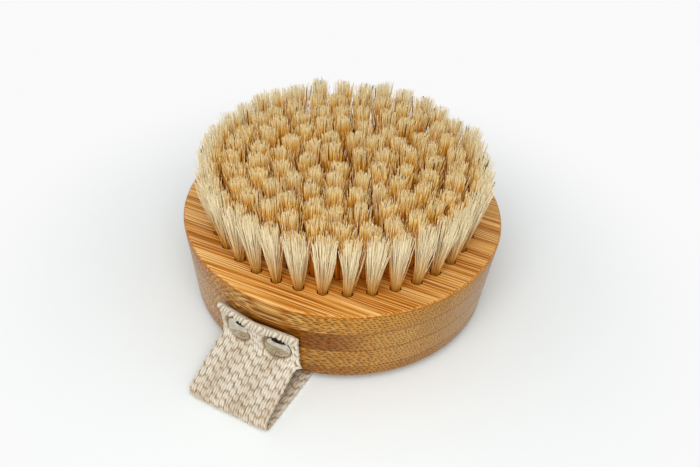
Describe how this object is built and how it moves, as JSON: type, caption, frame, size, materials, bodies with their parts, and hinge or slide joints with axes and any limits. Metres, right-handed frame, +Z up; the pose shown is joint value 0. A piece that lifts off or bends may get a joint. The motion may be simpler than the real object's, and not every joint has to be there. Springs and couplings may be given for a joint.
{
  "type": "bath brush",
  "caption": "Round bath brush with a laminated bamboo body, rings of bristle tufts and a nailed webbing hand strap whose loop opens for the hand.",
  "frame": {"origin": "on the floor under the middle of the strap, below the centre of the round body, with the brush lying on its back", "axes": "+Z up from the strap to the bristle tips, Y along the strap with its larger fold at -Y, X across the strap and along the bamboo's grain"},
  "size_m": [0.1148, 0.1425, 0.0583],
  "materials": {
    "bamboo": "satin, oiled",
    "bamboo_core": "satin, oiled",
    "bristle": "natural bristle",
    "webbing": "coarse woven cotton",
    "nail": "polished"
  },
  "bodies": {
    "strap": {"strap_run": "webbing"},
    "brush": {"bamboo_face_ply": "bamboo", "upper_core_strip_1": "bamboo_core", "upper_core_strip_2": "bamboo_core", "upper_core_strip_3": "bamboo_core", "upper_core_strip_4": "bamboo_core", "upper_core_strip_5": "bamboo_core", "lower_core_strip_1": "bamboo_core", "lower_core_strip_2": "bamboo_core", "lower_core_strip_3": "bamboo_core", "lower_core_strip_4": "bamboo_core", "lower_core_strip_5": "bamboo_core", "lower_core_strip_6": "bamboo_core", "bamboo_back_ply": "bamboo", "outer_ring_bristles": "bristle", "second_ring_bristles": "bristle", "third_ring_bristles": "bristle", "centre_bristles": "bristle", "front_left_nail": "nail", "front_right_nail": "nail", "rear_left_nail": "nail", "rear_right_nail": "nail", "strap_front_end": "webbing", "strap_rear_end": "webbing"}
  },
  "joints": [
    {"name": "hand_loop_opening", "type": "slide", "parent": "strap", "child": "brush", "axis": [0, 0, 1], "range_m": [0, 0.02]}
  ]
}
